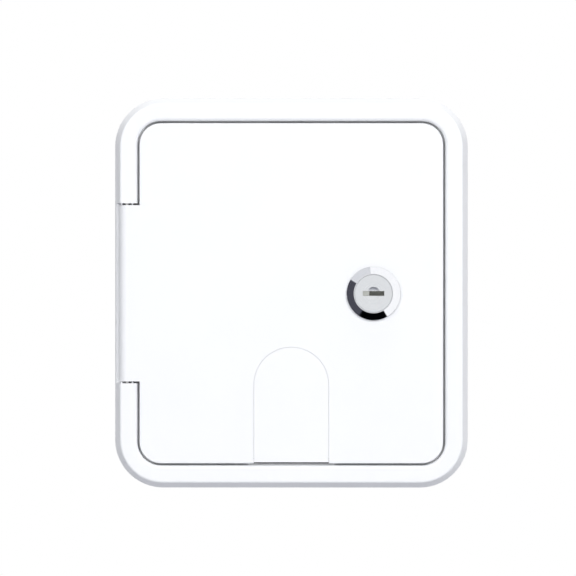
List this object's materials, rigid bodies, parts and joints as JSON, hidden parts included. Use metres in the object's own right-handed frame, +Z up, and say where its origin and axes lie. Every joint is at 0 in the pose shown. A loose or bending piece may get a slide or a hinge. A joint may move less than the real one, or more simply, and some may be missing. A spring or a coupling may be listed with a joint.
{
  "type": "rv power cord hatch",
  "caption": "Power cord hatch for a caravan wall: flanged frame with a collar, side-hinged door with a cam lock, and a sprung arched flap at its foot that lets the cord out.",
  "frame": {"origin": "centre of the four screw holes, on the plane of the wall's outer face", "axes": "+X to the right and +Z up the wall as seen from outside, +Y into the wall"},
  "size_m": [0.1842, 0.0462, 0.2032],
  "materials": {
    "white_abs": "satin moulded surface",
    "stainless": "drawn wire",
    "epdm": "matt",
    "chrome_plate": "bright plated",
    "satin_cap": "satin plated",
    "zinc_steel": "zinc plated",
    "zinc_alloy": "die cast and plated",
    "wafer_brass": "stamped"
  },
  "bodies": {
    "base": {"frame": "white_abs", "hinge_pin_upper": "stainless", "hinge_pin_lower": "stainless"},
    "door_leaf": {"door": "white_abs", "door_seal": "epdm", "flap_pin": "stainless", "flap_spring": "stainless", "lock_housing": "chrome_plate", "lock_gasket": "epdm", "lock_tooth_washer": "zinc_steel", "lock_nut": "zinc_steel"},
    "flap_leaf": {"cord_flap": "white_abs"},
    "lock_core": {"lock_plug": "zinc_alloy", "plug_cap": "satin_cap", "plug_ring_seal": "epdm", "wafers": "wafer_brass", "wafer_springs": "stainless", "turn_stop": "zinc_steel", "cam": "zinc_steel", "cam_washer": "zinc_steel", "cam_screw": "zinc_steel"}
  },
  "joints": [
    {"name": "door_hinge", "type": "hinge", "parent": "base", "child": "door_leaf", "pos_m": [-0.08578, -0.0058, 0], "axis": [0, 0, -1], "range_deg": [0, 135]},
    {"name": "flap_hinge", "type": "hinge", "parent": "door_leaf", "child": "flap_leaf", "pos_m": [0, -0.004, -0.02405], "axis": [1, 0, 0], "range_deg": [0, 75], "stiffness_Nm_per_rad": 0.012, "springref_deg": -34.38, "deforming": ["flap_spring"]},
    {"name": "lock_turn", "type": "hinge", "parent": "door_leaf", "child": "lock_core", "pos_m": [0.04292, -0.004, 0], "axis": [0, 1, 0], "range_deg": [0, 90]}
  ]
}
